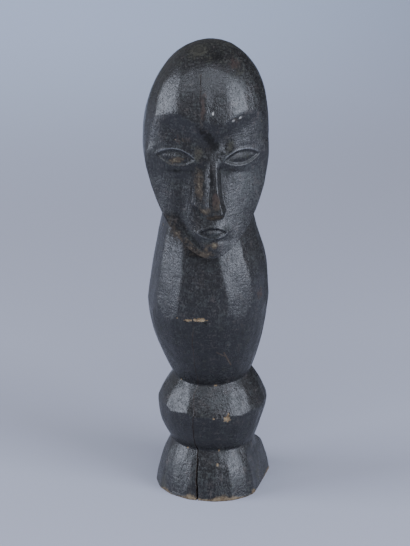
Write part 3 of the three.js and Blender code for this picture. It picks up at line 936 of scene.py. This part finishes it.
# %% Start the wood's tree, and read the masks
wood = bpy.data.materials.new("black_stained_wood")
wood.use_nodes = True
bench = Board(wood.node_tree)
waxed = wood.node_tree.nodes["Principled BSDF"]
worn_dull = wood.node_tree.nodes.new("ShaderNodeBsdfPrincipled")
last_node = wood.node_tree.nodes["Material Output"]
spot = bench.node("ShaderNodeTexCoord", out=3)
mask = {}
for name in masks:
    mask[name] = bench.node("ShaderNodeAttribute", {"attribute_name": name}, out=2)
print("the material reads", len(mask), "masks")


# %% A noise, its swing about the middle, a thin scratch and a blend of two colours
def noise(size, detail=3.0, roughness=0.55, stretch=1.0, shift=0.0):
    """noise whose blotches are size metres across, and stretch times as tall"""
    scale = bench.node("ShaderNodeMapping", {}, {0: spot, 1: (shift, shift, shift),
                                                 3: (1 / size, 1 / size, 1 / (size * stretch))})
    return bench.node("ShaderNodeTexNoise", {}, {"Vector": scale, "Scale": 1.0, "Detail": detail,
                                                 "Roughness": roughness})


def swing(pattern, weight):
    """how far a noise is from its middle value, times a weight"""
    return (pattern - 0.5) * weight


FLATTENED = (1.0, 0.15, 1.0)


def scratch_line(start, end, half_width):
    """a thin line between two points of the figure, which are given in metres"""
    along = tuple((b - a) * f for a, b, f in zip(start, end, FLATTENED))
    length = math.hypot(*along)
    from_start = bench.vector("MULTIPLY", bench.vector("SUBTRACT", spot, start), FLATTENED)
    share = bench.vector("DOT_PRODUCT", from_start, along, out=1)
    share = (share * (1 / length ** 2)).larger(0.0).smaller(1.0)
    nearest = bench.node("ShaderNodeVectorMath", {"operation": "SCALE"}, {0: along, 3: share})
    away = bench.vector("DISTANCE", from_start, nearest, out=1)
    return 1.0 - away.step(half_width, half_width * 2)


def blend(factor, first, second):
    return bench.node("ShaderNodeMix", {"data_type": "RGBA"}, {0: factor, 6: first, 7: second}, out=2)


print("along a scratch, depth counts", FLATTENED[1], "times")


# %% The grain: fibres up the figure, and growth rings that show on the crown
PITH = (-0.0066, -0.0015, 0.0)
RING_WIDTH = 0.0014
flat_place = bench.vector("MULTIPLY", bench.vector("SUBTRACT", spot, PITH), (1.0, 1.0, 0.03))
from_pith = bench.node("ShaderNodeVectorMath", {"operation": "LENGTH"}, {0: flat_place}, out=1)
waver = noise(0.011, detail=2.0, roughness=0.5, stretch=1.5)
ring_phase = from_pith * (1 / RING_WIDTH) + waver * 2.5
ring_line = bench.node("ShaderNodeMath", {"operation": "FRACT"}, {0: ring_phase})
late_wood = ring_line.step(0.3, 0.95) * mask["crown"]
print("one growth ring is", RING_WIDTH * 1000, "mm")

# %% The patterns, from fine to coarse
fibre = noise(0.0005, detail=2.0, roughness=0.6, stretch=16.0)
grit = noise(0.0007, detail=2.0, roughness=0.6, stretch=1.2, shift=13.0)
pore = noise(0.0008, detail=1.0, roughness=0.5, stretch=6.0, shift=3.0).step(0.60, 0.72)
grain = noise(0.0010, detail=2.0, roughness=0.6, stretch=8.0, shift=2.0)
streak = noise(0.0013, detail=3.0, roughness=0.6, stretch=7.0, shift=19.0)
speckle = noise(0.0013, detail=3.0, roughness=0.7, stretch=1.3, shift=7.0)
hatch = noise(0.0040, detail=3.0, roughness=0.65, stretch=0.27, shift=11.0)
cloud = noise(0.0040, detail=3.0, roughness=0.6, stretch=1.3, shift=17.0)
blotch = noise(0.0080, detail=4.0, roughness=0.62, stretch=1.5, shift=5.0)
print("with the patterns there are", len(wood.node_tree.nodes), "nodes")

# %% Colours of the stain, the wear, the dirt, the bare wood, and the painted shade and highlights
STAIN = (0.0085, 0.0080, 0.0083, 1.0)
THIN_WARM = (0.0560, 0.0480, 0.0440, 1.0)
THIN_GREEN = (0.0430, 0.0465, 0.0450, 1.0)
OLIVE = (0.0600, 0.0570, 0.0430, 1.0)
REDDISH = (0.0480, 0.0320, 0.0265, 1.0)
# near black for the painted shade, and for the crown's sooty patch
SOOT_AND_SHADE_BLACK = (0.0055, 0.0050, 0.0050, 1.0)
RUBBED_BROWN = (0.0660, 0.0515, 0.0375, 1.0)
RUBBED_GOLD = (0.1950, 0.1700, 0.1150, 1.0)
BARE = (0.1400, 0.0920, 0.0510, 1.0)
BARE_PALE = (0.2500, 0.1950, 0.1230, 1.0)
# the blue-grey of the painted highlights on the rims
RIM_HIGHLIGHT_GREY = (0.1150, 0.1200, 0.1300, 1.0)
CHALK = (0.3800, 0.3700, 0.3500, 1.0)
# near black painted into the crack, for the shade inside the slit
CRACK_SHADE = (0.0060, 0.0045, 0.0040, 1.0)
CRACK_LIP = (0.0500, 0.0340, 0.0260, 1.0)
print("the bare wood is", round(BARE[0] / STAIN[0]), "times as red as the stain")

# %% The stain, thin in places, a painted sheen, and the painted highlights on the rims
on_base = 1.0 - bench.node("ShaderNodeSeparateXYZ", {}, {0: spot}, out=2).step(0.016, 0.026)
thin = swing(speckle, 1.2) + swing(hatch, 2.8) + swing(grit, 2.8) + swing(cloud, 0.4) + 0.06
thin = thin + swing(streak, 1.6 + on_base * 1.6) + on_base * 0.14
# the pale mask lightens the colour: thin stain at the nose's end and the mouth, painted sheen on the
# right cheek, the right forehead, the chin's top and the ring's top
thin = thin + mask["pale"] * 0.7 + mask["crown"] * 0.12
thin_colour = blend(cloud.step(0.34, 0.54), THIN_WARM, THIN_GREEN)
colour = blend(thin.larger(0.0).smaller(1.0), STAIN, thin_colour)
# painted highlight: the rims of the eyes and the lips are painted blue-grey
rim_here = (mask["rim"] + swing(speckle, 1.2)).step(0.25, 1.0)
colour = blend(rim_here * 0.7, colour, RIM_HIGHLIGHT_GREY)
print("the stain takes", len(wood.node_tree.nodes), "nodes so far")

# %% Reddish, dusty and worn places, painted shade with the crown's sooty patch, and the growth lines
red_here = (mask["red"] + swing(speckle, 1.6) + swing(streak, 1.2)).step(0.3, 0.9)
colour = blend(red_here * 0.75, colour, REDDISH)
olive_here = mask["dust"] * 0.9 + mask["crown"] * 0.3 + swing(cloud, 1.6) + swing(grit, 1.6)
olive_here = olive_here.step(0.2, 0.8)
colour = blend(olive_here * 0.6, colour, OLIVE)
wear_here = mask["rubbed"] + mask["edge"] * 0.2 - mask["hollow"] * 0.1
wear = (wear_here + swing(blotch, 0.9) + swing(speckle, 1.3)).step(0.35, 0.95)
gold = (mask["rubbed"] + swing(speckle, 1.6) + swing(grit, 1.2)).step(0.85, 1.25)
colour = blend(wear * 0.8, colour, RUBBED_BROWN)
colour = blend(gold * 0.5, colour, RUBBED_GOLD)
# painted shade: the shade mask darkens the colour to near black where shade falls, and on the crown's
# sooty patch
soot_here = (mask["soot"] + swing(speckle, 1.6)).step(0.3, 0.95)
colour = blend(soot_here * 0.8, colour, SOOT_AND_SHADE_BLACK)
colour = blend(late_wood * 0.5, colour, STAIN)
print("with the wear there are", len(wood.node_tree.nodes), "nodes")

# %% Bare wood at the knocks and the foot, two scratches, chalky specks, and painted shade in the crack
foot_bare = (mask["foot"] + swing(blotch, 1.3) + swing(speckle, 0.8)).step(0.45, 0.9)
chip_bare = (mask["chip"] + swing(speckle, 0.9) + swing(grit, 0.8)).step(0.35, 0.75)
bare_colour = blend(speckle.step(0.35, 0.65), BARE, BARE_PALE)
colour = blend(chip_bare, colour, bare_colour)
colour = blend(foot_bare * 0.7, colour, bare_colour)
long_scratch = scratch_line((0.0031, -0.0261, 0.0760), (0.0067, -0.0221, 0.0681), 0.00022)
short_scratch = scratch_line((-0.0005, -0.0268, 0.0765), (0.0034, -0.0255, 0.0740), 0.00015)
colour = blend(long_scratch.larger(short_scratch) * 0.3, colour, BARE)
colour = blend(mask["speck"], colour, CHALK)
lip = mask["crack"].step(0.05, 0.45)
colour = blend(lip * 0.5, colour, CRACK_LIP)
# painted shade: the inside of the crack is painted near black where shade falls into the slit
colour = blend(mask["crack"].step(0.55, 0.85), colour, CRACK_SHADE)
print("with the bare wood there are", len(wood.node_tree.nodes), "nodes")

# %% Fine relief in millimetres
HAIR = 0.05
GRAIN = 0.07
STREAK = 0.08
HATCH = 0.13
SPECKLE = 0.17
GRIT = 0.08
PORE = 0.03
GROWTH_LINE = 0.05
relief = fibre * HAIR + grain * GRAIN + streak * STREAK + hatch * HATCH
relief = relief + speckle * SPECKLE + grit * GRIT - pore * PORE
relief = relief - late_wood * GROWTH_LINE
fine = bench.node("ShaderNodeBump", {}, {"Strength": 1.0, "Distance": 0.001, "Height": relief})
print("the strongest relief is", max(HAIR, GRAIN, STREAK, HATCH, SPECKLE, GRIT), "mm")

# %% How glossy the wax is, and where the finish is dull
WAX_ROUGHNESS = 0.31
GLOSSIEST = 0.2
DULLEST = 0.9
WAX_SHINE = 0.55
DULL_ROUGHNESS = 0.72
DULL_SHINE = 0.16
gloss = WAX_ROUGHNESS + swing(blotch, 0.24) + pore * 0.15 + swing(speckle, 0.25) + swing(grit, 0.3)
worn = wear * 0.75 + mask["rubbed"] * 0.5 + chip_bare + mask["speck"] + foot_bare
worn = worn + mask["crown"] * 0.8 + lip * 0.6 + soot_here * 0.9 + olive_here * 0.3
worn = worn + red_here * 0.45 + mask["hollow"] * 0.2 + mask["matt"] * 0.75
strokes = swing(hatch, 1.8) + swing(streak, 1.0)
dull_share = worn + strokes + swing(grit, 0.9) + swing(cloud, 1.1)
for surface in (waxed, worn_dull):
    bench.put(surface.inputs["Base Color"], colour)
    bench.put(surface.inputs["Normal"], fine)
bench.put(waxed.inputs["Roughness"], gloss.larger(GLOSSIEST).smaller(DULLEST))
waxed.inputs["Specular IOR Level"].default_value = WAX_SHINE
worn_dull.inputs["Roughness"].default_value = DULL_ROUGHNESS
worn_dull.inputs["Specular IOR Level"].default_value = DULL_SHINE
finish = bench.node("ShaderNodeMixShader", {}, {0: dull_share.larger(0.0).smaller(1.0),
                                                1: Wire(bench, waxed.outputs[0]),
                                                2: Wire(bench, worn_dull.outputs[0])})
bench.put(last_node.inputs["Surface"], finish)
print("the finish has", len(wood.node_tree.nodes), "nodes")

# %% [markdown]
# ## Run the tree and keep a plain mesh
# The modifier's inputs are set by their identifiers. The evaluated result is copied to a plain
# mesh, and the modifier goes, so the figure rides and exports as any plain piece.

# %% Evaluate the knife marks
MARK_SIZES = {
    "Scoop Depth": 0.00013,
    "Scoop Width": 0.0042,
    "Scoop Length": 0.0125,
    "Sway Depth": 0.00022,
    "Sway Size": 0.0085,
    "Seed": 4.7,
    "Wood": wood,
}


def in_scene(name, data):
    """a new object, linked to the scene"""
    made = bpy.data.objects.new(name, data)
    bpy.context.scene.collection.objects.link(made)
    return made


draft = in_scene("draft", mesh)
cutting = draft.modifiers.new("knife_marks", "NODES")
cutting.node_group = marks
for item in marks.interface.items_tree:
    if item.in_out == "INPUT" and item.name in MARK_SIZES:
        cutting[item.identifier] = MARK_SIZES[item.name]
evaluated = draft.evaluated_get(bpy.context.evaluated_depsgraph_get())
cut_mesh = bpy.data.meshes.new_from_object(evaluated)
cut_mesh.name = "carving_cut"
draft.modifiers.remove(cutting)
bpy.data.objects.remove(draft)
carving = in_scene("carving", cut_mesh)
print(len(cut_mesh.polygons), "faces, materials:", [m.name for m in cut_mesh.materials])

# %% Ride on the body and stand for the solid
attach(carving, "root")
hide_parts("figure")
print("the carving rides on the body and stands for the solid")

# %% [markdown]
# ## Floor, light and camera
# The figure stands on a plain pale sheet. A broad soft light stands far round on the left and
# another at the front right, both about level with the head, so that the flats that face them
# shine. A weak one in front lifts what looks up, and a long bar overhead lights the brow, the
# ridges and the floor. Behind, a spot that misses the figure cools the far floor, and a dark
# card on the right darkens what the right-hand flats mirror. The camera looks down a little,
# from slightly left of the face, through a long lens.

# %% The camera, aimed at the figure's middle
TARGET = Vector((0.0, 0.0, 0.110))
AWAY = 1.6
LENS = 225.6
PICTURE_HEIGHT = 546
SHIFT_ACROSS = -7.5
SHIFT_UP = -8.5
azimuth = math.radians(-5.0)
elevation = math.radians(21.5)
back = Vector((math.sin(azimuth) * math.cos(elevation), -math.cos(azimuth) * math.cos(elevation),
               math.sin(elevation)))
camera_data = bpy.data.cameras.new("camera")
camera = in_scene("camera", camera_data)
camera.location = TARGET + back * AWAY
camera.rotation_euler = (-back).to_track_quat("-Z", "Y").to_euler()
camera_data.sensor_width = 36.0
camera_data.lens = LENS
camera_data.shift_x = SHIFT_ACROSS / PICTURE_HEIGHT
camera_data.shift_y = SHIFT_UP / PICTURE_HEIGHT
camera_data.clip_start = 0.05
camera_data.clip_end = 20.0
bpy.context.scene.camera = camera
print("the camera stands", AWAY, "m away")

# %% Soft lights, placed by their turn from the front and their rise, in degrees
LIGHT_COLOUR = (0.78, 0.845, 1.0)
LIGHT_AWAY = 1.35
BOX_SIZE = (0.75, 0.95)
FILL_SIZE = (0.9, 0.6)
BAR_SIZE = (2.0, 0.24)


def soft_light(name, turn, rise, size, power):
    data = bpy.data.lights.new(name, "AREA")
    data.shape = "RECTANGLE"
    data.size = size[0]
    data.size_y = size[1]
    data.energy = power
    data.color = LIGHT_COLOUR
    light = in_scene(name, data)
    a = math.radians(turn)
    e = math.radians(rise)
    way = Vector((math.sin(a) * math.cos(e), -math.cos(a) * math.cos(e), math.sin(e)))
    light.location = TARGET + way * LIGHT_AWAY
    light.rotation_euler = way.to_track_quat("Z", "Y").to_euler()
    return light


soft_light("left_softbox", -86, 17, BOX_SIZE, 20)
soft_light("right_softbox", 50, 17, BOX_SIZE, 19.5)
soft_light("front_fill", 0, 44, FILL_SIZE, 3.0)
soft_light("top_bar", 3, 60, BAR_SIZE, 8.5)
print("the soft lights stand", LIGHT_AWAY, "m away")

# %% A spot on the floor behind, which misses the figure
FAR_SPOT_PLACE = (-0.06, 0.95, 1.15)
FAR_SPOT_COLOUR = (0.52, 0.72, 1.0)
FAR_SPOT_POWER = 46
FAR_SPOT_ANGLE = 56
far_data = bpy.data.lights.new("far_floor_spot", "SPOT")
far_data.energy = FAR_SPOT_POWER
far_data.color = FAR_SPOT_COLOUR
far_data.spot_size = math.radians(FAR_SPOT_ANGLE)
far_data.spot_blend = 1.0
far_data.shadow_soft_size = 0.1
far_spot = in_scene("far_floor_spot", far_data)
far_spot.location = FAR_SPOT_PLACE
print("the spot hangs", FAR_SPOT_PLACE[2], "m over the floor")


# %% A pale floor
def flat_sheet(name, corners, finish, colour, roughness):
    """a sheet of four corners with a plain matt finish"""
    sheet_mesh = bpy.data.meshes.new(name)
    sheet_mesh.from_pydata(corners, [], [(0, 1, 2, 3)])
    sheet = in_scene(name, sheet_mesh)
    material = bpy.data.materials.new(finish)
    material.use_nodes = True
    shader = material.node_tree.nodes["Principled BSDF"]
    shader.inputs["Base Color"].default_value = colour
    shader.inputs["Roughness"].default_value = roughness
    sheet_mesh.materials.append(material)
    return sheet


PAPER_GREY = (0.412, 0.424, 0.495, 1)
SIDE = 4.0
FAR_END = 6.0
floor_corners = [(-SIDE, -SIDE, 0), (SIDE, -SIDE, 0), (SIDE, FAR_END, 0), (-SIDE, FAR_END, 0)]
floor = flat_sheet("floor", floor_corners, "pale_paper", PAPER_GREY, 0.9)
print("the floor is", 2 * SIDE, "m wide")

# %% A dark card far round on the right, outside the picture
FELT_BLACK = (0.03, 0.03, 0.03, 1)
CARD_ASIDE = 0.45
CARD_START = 0.25
CARD_END = 1.25
CARD_TALL = 0.6
card_corners = [(CARD_ASIDE, CARD_START, 0), (CARD_ASIDE, CARD_END, 0),
                (CARD_ASIDE, CARD_END, CARD_TALL), (CARD_ASIDE, CARD_START, CARD_TALL)]
card = flat_sheet("dark_card", card_corners, "dark_felt", FELT_BLACK, 1.0)
print("the card is", CARD_END - CARD_START, "m long and", CARD_TALL, "m tall")

# %% Even light from all round
ROOM_COLOUR = (0.54, 0.55, 0.60, 1)
ROOM_STRENGTH = 0.70
world = bpy.data.worlds.new("room")
bpy.context.scene.world = world
world.use_nodes = True
room_light = world.node_tree.nodes["Background"]
room_light.inputs["Color"].default_value = ROOM_COLOUR
room_light.inputs["Strength"].default_value = ROOM_STRENGTH
print("the room's light has a strength of", ROOM_STRENGTH)

# %% Finish
print("the scene is set")
